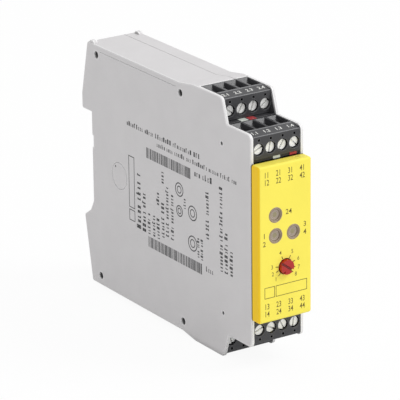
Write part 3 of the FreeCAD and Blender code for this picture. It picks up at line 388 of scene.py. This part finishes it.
# Pale grey lines that stand in for a painted highlight on the edges of the marking strips.
EDGE_HIGHLIGHT_INK = printing_ink("strip_edge_highlight", colour(150, 150, 152), 0.6)
DARK_INK = printing_ink("ink_dark", colour(54, 54, 56), 1.25)
COVER_INK = printing_ink("ink_cover", colour(98, 84, 20), 1.2)
RIM = moulded(
    "window_rim", colour(150, 130, 104), 0.3, grain=0.4, depth=0.003, edge=0.05, Coat_Weight=0.3)

BY_NAME = {
    "housing": HOUSING,
    "front_cover": COVER,
    "front_board": BOARD,
    "main_board": BOARD,
    "light_pipe": LENS,
    "delay_knob": KNOB,
    "potentiometer": BLACK,
    "header_pins": TIN,
    "header": TERMINAL,
    "plug": TERMINAL,
    "contacts": TIN,
    "clamp": CLAMP,
    "screw": SCREW,
    "coding_keys_white": KEY_WHITE,
    "coding_keys_red": KEY_RED,
    "relay": RELAY,
    "transformer": CORE,
    "rail_catch": CATCH,
    "catch_spring": SPRING,
}


def dress_cad_nodes():
    """Give every CAD node the material of the longest name that it starts with."""
    for name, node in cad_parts.items():
        key = max((start for start in BY_NAME if name.startswith(start)), key=len)
        node.data.materials.clear()
        node.data.materials.append(BY_NAME[key])


def squeezed_spring():
    """A copy of the catch spring that rides on the housing, shown in place of the hidden CAD node."""
    piece = bpy.data.objects.new("squeezed_spring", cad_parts["catch_spring"].data.copy())
    bpy.context.scene.collection.objects.link(piece)
    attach(piece, "housing")
    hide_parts("catch_spring")
    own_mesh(piece)


# ---------------------------------------------------------------- shapes


def corners(left, low, right, high):
    """The corners of an upright rectangle."""
    return [(left, low), (right, low), (right, high), (left, high)]


def circle(x, y, radius, steps):
    """Points round a circle."""
    turns = [2 * math.pi * step / steps for step in range(steps)]
    return [(x + radius * math.cos(turn), y + radius * math.sin(turn)) for turn in turns]


def join(mesh, first, second):
    """Close the strip between two rings of as many points."""
    count = len(first)
    for here in range(count):
        following = (here + 1) % count
        mesh.faces.new((first[here], first[following], second[following], second[here]))


def finished(name, mesh, material):
    """The piece that a mesh under construction becomes."""
    bmesh.ops.recalc_face_normals(mesh, faces=mesh.faces)
    data = bpy.data.meshes.new(name)
    mesh.to_mesh(data)
    mesh.free()
    data.materials.append(material)
    piece = bpy.data.objects.new(name, data)
    bpy.context.scene.collection.objects.link(piece)
    return piece


# ---------------------------------------------------------------- print on the surfaces

# Height of a number as a share of the font's size, and how much bolder the numbers are.
NUMBER_SHARE = 0.7
BOLD = 0.012

# Width of a small-print letter and of its strokes, as shares of that letter's own height.
LETTER_WIDE = 0.52
LETTER_THICK = 0.25

# Shares of a full letter's height: the height of a small letter, the step from one full letter to
# the next, the room added after each letter, and the room added after each word.
SMALL = 0.72
LETTER_STEP = 0.72
LETTER_GAP = 0.12
WORD_GAP = 0.5

# Each form names the strokes of one letter.
LETTER_FORMS = ("lrt", "lrb", "ltb", "ltmb", "lrm", "lt", "lrtb", "lmb", "rtb", "lb")

# Width of the narrowest bar in a block of bars.
BAR = 0.22

# Corners of a dot and of a ring.
DOT_STEPS = 12
RING_STEPS = 40


class Print:
    """Ink on one flat face: closed, very thin shapes set half into the surface.

    Places on the face are in millimetres, x to its right and y upwards.
    """

    def __init__(self, name, origin, right, up):
        self.name = name
        right = Vector(right).normalized()
        up = Vector(up).normalized()
        self.frame = Matrix.Translation(Vector(origin)) @ Matrix(
            [[right[i], up[i], right.cross(up)[i], 0] for i in range(3)] + [[0, 0, 0, 1]])
        self.mesh = bmesh.new()

    def points(self, outline, level):
        """New points of an outline, at a level over the face."""
        places = [self.frame @ Vector((x * MM, y * MM, level)) for x, y in outline]
        return [self.mesh.verts.new(place) for place in places]

    def shape(self, outline):
        """A filled flat shape from its corners."""
        lower, upper = [self.points(outline, level) for level in (-INK, INK)]
        self.mesh.faces.new(upper)
        self.mesh.faces.new(reversed(lower))
        join(self.mesh, lower, upper)

    def band(self, outer, inner):
        """A closed line between two outlines with as many corners."""
        rings = [self.points(outline, level) for outline in (outer, inner) for level in (-INK, INK)]
        for near, far in ((0, 1), (1, 3), (3, 2), (2, 0)):
            join(self.mesh, rings[near], rings[far])

    def bar(self, left, low, right, high):
        """An upright rectangle."""
        self.shape(corners(left, low, right, high))

    def field(self, left, low, right, high, width):
        """The outline of an empty writing field."""
        inner = corners(left + width, low + width, right - width, high - width)
        self.band(corners(left, low, right, high), inner)

    def dot(self, x, y, radius):
        """A filled round spot."""
        self.shape(circle(x, y, radius, DOT_STEPS))

    def ring(self, x, y, radius, width):
        """A circle line."""
        self.band(circle(x, y, radius, RING_STEPS), circle(x, y, radius - width, RING_STEPS))

    def stroke(self, x, y, length, width, angle):
        """A straight stroke that starts at a point."""
        along = Vector((math.cos(angle), math.sin(angle)))
        across = Vector((-along.y, along.x)) * width / 2
        start = Vector((x, y))
        end = start + along * length
        self.shape([start - across, end - across, end + across, start + across])

    def text(self, words, x, y, height, squeeze=1.0):
        """Numbers centred on a point."""
        curve = bpy.data.curves.new("numbers", "FONT")
        curve.body = words
        curve.size = height * MM / NUMBER_SHARE
        curve.align_x = "CENTER"
        curve.align_y = "CENTER"
        curve.extrude = INK
        curve.offset = BOLD * height * MM
        curve.resolution_u = 3
        holder = bpy.data.objects.new("numbers", curve)
        flat = bpy.data.meshes.new_from_object(holder)
        place = self.frame @ Matrix.Translation((x * MM, y * MM, 0))
        flat.transform(place @ Matrix.Diagonal((squeeze, 1, 1, 1)))
        self.mesh.from_mesh(flat)
        bpy.data.objects.remove(holder)
        bpy.data.curves.remove(curve)
        bpy.data.meshes.remove(flat)

    def letter(self, x, y, height, form, upright):
        """One letter-like mark from up to five strokes, reading to the right or upwards."""
        wide, thick = height * LETTER_WIDE, height * LETTER_THICK
        start, end = thick / 2, wide - thick / 2
        strokes = {
            "l": (0, 0, thick, height),
            "r": (wide - thick, 0, wide, height),
            "t": (start, height - thick, end, height),
            "m": (start, (height - thick) / 2, end, (height + thick) / 2),
            "b": (start, 0, end, thick),
        }
        for name in form:
            left, low, right, high = strokes[name]
            if upright:
                self.bar(x - high, y + left, x - low, y + right)
            else:
                self.bar(x + left, y + low, x + right, y + high)

    def small_print(self, start, end, height, seed, upright=False):
        """Word-like groups of letter-like marks that spell nothing, in place of small print."""
        luck = random.Random(seed)
        along = 1 if upright else 0
        place, stop = start[along], end[along]
        step = height * LETTER_STEP
        while place < stop - step:
            for _ in range(luck.randint(3, 10)):
                if place > stop - step:
                    break
                form = luck.choice(LETTER_FORMS)
                rise = height * luck.choice((SMALL, SMALL, 1.0))
                x, y = (start[0], place) if upright else (place, start[1])
                self.letter(x, y, rise, form, upright)
                place += step * rise / height + height * LETTER_GAP
            place += height * WORD_GAP

    def bar_code(self, left, low, right, high, seed):
        """A block of bars of chance widths, with no meaning."""
        luck = random.Random(seed)
        place = left
        while place < right - 3 * BAR:
            width = BAR * luck.choice((1, 1, 2, 3))
            self.bar(place, low, place + width, high)
            place += width + BAR * luck.choice((1, 1, 2))

    def done(self, ink, body):
        """Finish the piece, which rides on a body of the frame."""
        piece = finished(self.name, self.mesh, ink)
        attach(piece, body)


# ---------------------------------------------------------------- terminal sockets and blocks

# Thickness of the side plates and of the dark skins on their inner faces, and how far the skins
# stay inside the edges of the plates.
PLATE = 1.2
SKIN = 0.08
SKIN_IN = 0.7

# Outline of an upper socket: depths behind the cover's front, and drops below the top.
SOCKET_FRONT = 5.0
SLOPE_FRONT = 20.0
SLOPE_BACK = 23.0
SOCKET_BACK = 38.0
SOCKET_DROP = 18.5
STEP_DROP = 9.3

# Marking strip along the front edge of a block: its depth and how far it drops.
STRIP_RUN = 5.0
STRIP_DROP = 1.05

# Painted highlight lines along the two long edges of a strip: their width, and how far they stay
# inside the long edges and the ends.
EDGE_LINE = 0.32
EDGE_IN = 0.05
EDGE_END = 0.3

# Pole numbers on a strip: their height, and how far above its middle they stand.
POLE_NUMBER = 1.7
POLE_LIFT = 0.1


def cheeks():
    """The thin dark side walls of the terminal sockets, on the inner faces of both side plates."""
    top = cad_box[1].z / MM
    step = top - STEP_DROP - SKIN_IN
    upper = [
        (SOCKET_FRONT + SKIN_IN, top - SOCKET_DROP),
        (SOCKET_FRONT + SKIN_IN, step),
        (SLOPE_FRONT + SKIN_IN, step),
        (SLOPE_BACK + SKIN_IN, top - SKIN_IN),
        (SOCKET_BACK, top - SKIN_IN),
        (SOCKET_BACK, top - SOCKET_DROP),
    ]
    lower = [(y, top - z) for y, z in reversed(upper)]
    left_face = cad_box[0].x / MM + PLATE
    right_face = cad_box[1].x / MM - PLATE - SKIN
    for side, face in (("left", left_face), ("right", right_face)):
        for level, outline in (("upper", upper), ("lower", lower)):
            mesh = bmesh.new()
            rings = [
                [mesh.verts.new((x * MM, (COVER_FRONT + y) * MM, z * MM)) for y, z in outline]
                for x in (face, face + SKIN)]
            mesh.faces.new(rings[0])
            mesh.faces.new(reversed(rings[1]))
            join(mesh, rings[0], rings[1])
            piece = finished("socket_cheek_%s_%s" % (level, side), mesh, TERMINAL)
            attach(piece, "housing")


def plug_numbers():
    """Plain white pole numbers and painted highlight lines along the edges of the sloping marking
    strip of each plug.
    """
    for group, row in enumerate(ROWS, start=1):
        low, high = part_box("plug_" + row)
        middle = (low.x + high.x) / 2
        depth = low.y + STRIP_RUN / 2 * MM
        if row.startswith("upper"):
            origin = (middle, depth, high.z - STRIP_DROP / 2 * MM)
            up = (0, STRIP_RUN, STRIP_DROP)
        else:
            origin = (middle, depth, low.z + STRIP_DROP / 2 * MM)
            up = (0, -STRIP_RUN, STRIP_DROP)
        marks = Print("numbers_" + row, origin, (1, 0, 0), up)
        for pole in range(POLES):
            place = PITCH * (pole - (POLES - 1) / 2)
            marks.text("%d.%d" % (group, pole + 1), place, POLE_LIFT, POLE_NUMBER)
        marks.done(WHITE_INK, "plug_" + row)
        # Pale lines along the strip's two long edges: a painted highlight.
        edges = Print("strip_edges_" + row, origin, (1, 0, 0), up)
        reach = (high.x - low.x) / 2 / MM - EDGE_END
        half = math.hypot(STRIP_RUN, STRIP_DROP) / 2
        for edge in (-half + EDGE_IN, half - EDGE_IN - EDGE_LINE):
            edges.bar(-reach, edge, reach, edge + EDGE_LINE)
        edges.done(EDGE_HIGHLIGHT_INK, "plug_" + row)


# ---------------------------------------------------------------- front of the cover

# Terminal numbers in four columns: their height, the place of the first column and the step to the
# next, how far the outer and the inner lines stand from the cover's upper and lower edges, and
# the width that the numbers are narrowed to.
LABEL = 2.1
LABEL_START = -7.95
LABEL_PITCH = 5.05
LABEL_OUTER = 3.3
LABEL_INNER = 6.1
LABEL_SQUEEZE = 0.75

# Dial of the knob: the angles of its strokes, where they start, their length and their width.
DIAL_ANGLES = (225, 200, 173, 112, 60, 19, -14, -41)
DIAL_RADIUS = 3.1
DIAL_LENGTH = 1.2
DIAL_WIDTH = 0.34

# Numbers round the dial: their distance from its middle, their height and their narrowing.
NUMBER_RADIUS = 5.8
DIAL_NUMBER = 1.5
NUMBER_SQUEEZE = 0.9

# Height of the numbers beside the windows.
SIGN = 1.9

# Two empty fields: their left and right edges, their lower and upper edges over the lower edge of
# the cover, and the width of their line.
FIELDS = ((-9.0, -4.6), (-4.2, 9.2))
FIELD_LOW = 9.2
FIELD_HIGH = 13.4
FIELD_LINE = 0.24

# Window rims: half their width, how far they stand out, and the steps round them.
RIM_HALF = 0.28
RIM_OUT = 0.16
RIM_STEPS = 64


def cover_print():
    """Numbers, the dial of the knob, two empty fields and the window rims on the cover."""
    low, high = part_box("front_cover")
    knob_low, knob_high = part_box("delay_knob")
    marks = Print("print_cover", (0, low.y, 0), (1, 0, 0), (0, 0, 1))
    top, bottom = high.z / MM, low.z / MM
    lines = (top - LABEL_OUTER, top - LABEL_INNER, bottom + LABEL_INNER, bottom + LABEL_OUTER)
    for column in range(1, POLES + 1):
        place = LABEL_START + LABEL_PITCH * (column - 1)
        for line, height in enumerate(lines, start=1):
            marks.text("%d%d" % (column, line), place, height, LABEL, LABEL_SQUEEZE)
    middle_x = (knob_low.x + knob_high.x) / 2 / MM
    middle_z = (knob_low.z + knob_high.z) / 2 / MM
    for number, angle in enumerate(DIAL_ANGLES, start=1):
        turn = math.radians(angle)
        x, z = math.cos(turn), math.sin(turn)
        start = (middle_x + DIAL_RADIUS * x, middle_z + DIAL_RADIUS * z)
        place = (middle_x + NUMBER_RADIUS * x, middle_z + NUMBER_RADIUS * z)
        marks.stroke(*start, DIAL_LENGTH, DIAL_WIDTH, turn)
        marks.text(str(number), *place, DIAL_NUMBER, NUMBER_SQUEEZE)
    centres = [(x / MM, z / MM) for x, z in window_centres()]
    (left, upper), (left, lower), (right, lower) = centres
    signs = (
        ("24", left + 5.6, upper + 0.2),
        ("1", left - 4.8, lower + 0.6),
        ("2", left - 4.8, lower - 2.4),
        ("3", right + 4.9, lower + 1.9),
        ("4", right + 4.9, lower - 1.1),
    )
    for words, x, z in signs:
        marks.text(words, x, z, SIGN)
    for start, end in FIELDS:
        marks.field(start, bottom + FIELD_LOW, end, bottom + FIELD_HIGH, FIELD_LINE)
    for number, (x, z) in enumerate(centres, start=1):
        window_rim(number, x, z, low.y)
    marks.done(COVER_INK, "housing")


def window_rim(number, x, z, face):
    """The slim raised ring round a status window, turned from its profile.

    Each point of the profile is a radius and a height over the cover's front.
    """
    inner, outer = WINDOW / 2 - RIM_HALF, WINDOW / 2 + RIM_HALF
    profile = [
        (inner, -0.25), (inner + 0.04, 0.02), (inner + 0.14, RIM_OUT * 0.8), (inner + 0.26, RIM_OUT),
        (outer - 0.16, RIM_OUT * 0.85), (outer - 0.04, 0.05), (outer, -0.02), (outer - 0.3, -0.05)]
    mesh = bmesh.new()
    rings = []
    for step in range(RIM_STEPS):
        turn = 2 * math.pi * step / RIM_STEPS
        across, up = math.cos(turn), math.sin(turn)
        places = [
            ((x + radius * across) * MM, face - out * MM, (z + radius * up) * MM)
            for radius, out in profile]
        rings.append([mesh.verts.new(place) for place in places])
    for step, ring in enumerate(rings):
        join(mesh, ring, rings[(step + 1) % RIM_STEPS])
    for surface in mesh.faces:
        surface.smooth = True
    piece = finished("window_rim_%d" % number, mesh, RIM)
    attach(piece, "housing")


# ---------------------------------------------------------------- left side

# Lines of small print on the side, by their distance behind the cover's front and their height
# over the ground. Level lines: rear end, front end, height, height of the letters.
LEVEL_LINES = (
    (86.0, 36.6, 71.1, 1.8),
    (65.6, 12.6, 68.1, 1.7),
    (40.8, 27.7, 63.9, 2.2),
    (33.9, 27.5, 29.6, 1.9),
)

# Upright lines: distance behind the front, lower end, upper end, height of the letters.
UPRIGHT_LINES = (
    (77.4, 32.6, 56.2, 2.9),
    (74.0, 32.5, 48.6, 2.3),
    (71.0, 32.5, 41.6, 1.8),
    (67.7, 32.5, 43.4, 1.9),
    (64.7, 32.5, 40.8, 1.9),
    (64.7, 45.7, 51.4, 1.9),
    (61.4, 34.0, 48.2, 1.9),
    (61.4, 55.0, 61.2, 1.9),
    (58.4, 35.2, 55.6, 1.9),
    (55.1, 34.9, 55.0, 1.9),
    (46.9, 49.5, 54.5, 1.5),
    (38.2, 33.4, 41.6, 1.5),
    (35.8, 33.0, 42.2, 1.5),
    (31.8, 42.3, 62.0, 2.0),
    (23.0, 32.6, 65.6, 2.0),
    (19.8, 32.7, 49.2, 2.0),
    (16.6, 32.7, 42.8, 2.0),
)

# First seeds of the chance forms in the lines and of the chance widths in the blocks of bars.
LEVEL_SEED = 0
UPRIGHT_SEED = 20
BAR_SEED = 50

# Double rings: distance behind the front, height, outer radius. Then the widths of their two
# lines, and the inner radius as a share of the outer one.
DOUBLE_RINGS = (
    (51.0, 55.8, 2.7),
    (51.0, 47.6, 2.2),
    (42.4, 49.2, 2.9),
    (42.5, 37.6, 3.0),
)
OUTER_LINE = 0.45
INNER_LINE = 0.4
INNER_SHARE = 0.55

# Width of the line round the two empty fields on the side.
SIDE_FIELD_LINE = 0.35


def side_print():
    """Small print on the left side: lines of marks, two blocks of bars and plain signs.

    On this face x runs forward, so a distance behind the cover's front is negative.
    """
    marks = Print("print_side", (cad_box[0].x, COVER_FRONT * MM, 0), (0, -1, 0), (0, 0, 1))
    for seed, (back, near, height, size) in enumerate(LEVEL_LINES, start=LEVEL_SEED):
        marks.small_print((-back, height), (-near, height), size, seed)
    for seed, (back, bottom, top, size) in enumerate(UPRIGHT_LINES, start=UPRIGHT_SEED):
        marks.small_print((-back, bottom), (-back, top), size, seed, upright=True)
    marks.bar_code(-72.8, 61.9, -43.0, 66.0, BAR_SEED)
    marks.bar_code(-72.5, 27.4, -35.6, 31.5, BAR_SEED + 1)
    for back, height, radius in DOUBLE_RINGS:
        marks.ring(-back, height, radius, OUTER_LINE)
        marks.ring(-back, height, radius * INNER_SHARE, INNER_LINE)
    marks.dot(-94.6, 52.6, 0.4)
    marks.field(-85.4, 34.2, -81.4, 38.6, SIDE_FIELD_LINE)
    marks.field(-85.4, 39.3, -81.4, 59.6, SIDE_FIELD_LINE)
    marks.done(DARK_INK, "housing")


# ---------------------------------------------------------------- stage, light and camera

# Half the width of the floor in metres, the share of white that the floor shows when it is seen
# directly, the strength of the world's light, and the point that the lamps and the camera face.
FLOOR_HALF = 4.0
FLOOR_WHITE = 0.93
WORLD_LIGHT = 0.79
TARGET = Vector((0, 0, (cad_box[0].z + cad_box[1].z) / 2))

# Azimuth, elevation and roll of the camera in degrees, its distance and its lens in millimetres,
# and how far it aims to the right of the target and below it.
CAMERA_ANGLES = (33.14, 19.55, 0.683)
CAMERA_DISTANCE = 1143.3
CAMERA_LENS = 281.5
AIM_RIGHT = 1.93
AIM_DOWN = 1.48


def stage():
    """A pale floor that keeps a soft shadow, and a white world behind it."""
    floor_data = bpy.data.meshes.new("floor")
    square = corners(-FLOOR_HALF, -FLOOR_HALF, FLOOR_HALF, FLOOR_HALF)
    floor_data.from_pydata([(x, y, 0) for x, y in square], [], [(0, 1, 2, 3)])
    floor = bpy.data.objects.new("floor", floor_data)
    bpy.context.scene.collection.objects.link(floor)
    material = bpy.data.materials.new("floor_white")
    material.use_nodes = True
    tree = material.node_tree
    diffuse = tree.nodes["Principled BSDF"]
    diffuse.inputs["Base Color"].default_value = (0.9, 0.9, 0.9, 1)
    diffuse.inputs["Roughness"].default_value = 0.8
    glow = tree.nodes.new("ShaderNodeEmission")
    show_white(tree, FLOOR_WHITE, diffuse, glow, tree.nodes["Material Output"])
    floor_data.materials.append(material)

    world = bpy.data.worlds.new("studio")
    world.use_nodes = True
    bpy.context.scene.world = world
    tree = world.node_tree
    ambient = tree.nodes["Background"]
    ambient.inputs["Strength"].default_value = WORLD_LIGHT
    ambient.inputs["Color"].default_value = (1, 1, 1, 1)
    white = tree.nodes.new("ShaderNodeBackground")
    white.inputs["Color"].default_value = (1, 1, 1, 1)
    show_white(tree, 1.0, ambient, white, tree.nodes["World Output"])


def show_white(tree, share, plain, white, output):
    """Blend a white shader over the plain one, by that share, where it is seen directly."""
    blend = tree.nodes.new("ShaderNodeMixShader")
    tree.links.new(seen_directly(tree, share), blend.inputs[0])
    tree.links.new(plain.outputs[0], blend.inputs[1])
    tree.links.new(white.outputs[0], blend.inputs[2])
    tree.links.new(blend.outputs[0], output.inputs["Surface"])


def seen_directly(tree, share):
    """A share for camera, glossy and transmission rays, and nothing for the light itself."""
    path = tree.nodes.new("ShaderNodeLightPath")
    total = path.outputs["Is Camera Ray"]
    for name in ("Is Glossy Ray", "Is Transmission Ray"):
        either = tree.nodes.new("ShaderNodeMath")
        either.operation = "MAXIMUM"
        tree.links.new(total, either.inputs[0])
        tree.links.new(path.outputs[name], either.inputs[1])
        total = either.outputs[0]
    scaled = tree.nodes.new("ShaderNodeMath")
    scaled.operation = "MULTIPLY"
    scaled.inputs[1].default_value = share
    tree.links.new(total, scaled.inputs[0])
    return scaled.outputs[0]


def lamp(name, place, size, power):
    """A square soft light that looks at the middle of the object."""
    data = bpy.data.lights.new(name, "AREA")
    data.energy = power
    data.size = size
    light = bpy.data.objects.new(name, data)
    light.location = place
    light.rotation_euler = (TARGET - Vector(place)).to_track_quat("-Z", "Y").to_euler()
    bpy.context.scene.collection.objects.link(light)


def camera():
    """The camera, turned to the left of the front and looking down a little."""
    azimuth, elevation, roll = (math.radians(angle) for angle in CAMERA_ANGLES)
    ahead = Vector((
        math.sin(azimuth) * math.cos(elevation),
        math.cos(azimuth) * math.cos(elevation),
        -math.sin(elevation)))
    right = Vector((math.cos(azimuth), -math.sin(azimuth), 0))
    up = right.cross(ahead)
    aim = TARGET + right * AIM_RIGHT * MM - up * AIM_DOWN * MM
    tilted_right = right * math.cos(roll) - up * math.sin(roll)
    tilted_up = right * math.sin(roll) + up * math.cos(roll)
    place = aim - ahead * (CAMERA_DISTANCE * MM)
    data = bpy.data.cameras.new("camera")
    data.sensor_width = 36
    data.lens = CAMERA_LENS
    data.clip_start = 0.05
    data.clip_end = 20
    eye = bpy.data.objects.new("camera", data)
    eye.matrix_world = Matrix(
        [[tilted_right[i], tilted_up[i], -ahead[i], place[i]] for i in range(3)] + [[0, 0, 0, 1]])
    bpy.context.scene.collection.objects.link(eye)
    bpy.context.scene.camera = eye


dress_cad_nodes()
squeezed_spring()
cheeks()
plug_numbers()
cover_print()
side_print()
stage()
lamp("key", place=(0.72, -0.65, 1.06), size=0.5, power=7.6)
lamp("front", place=(0.1, -1.3, 0.5), size=0.8, power=0.5)
camera()
bpy.context.scene.view_settings.view_transform = "Standard"
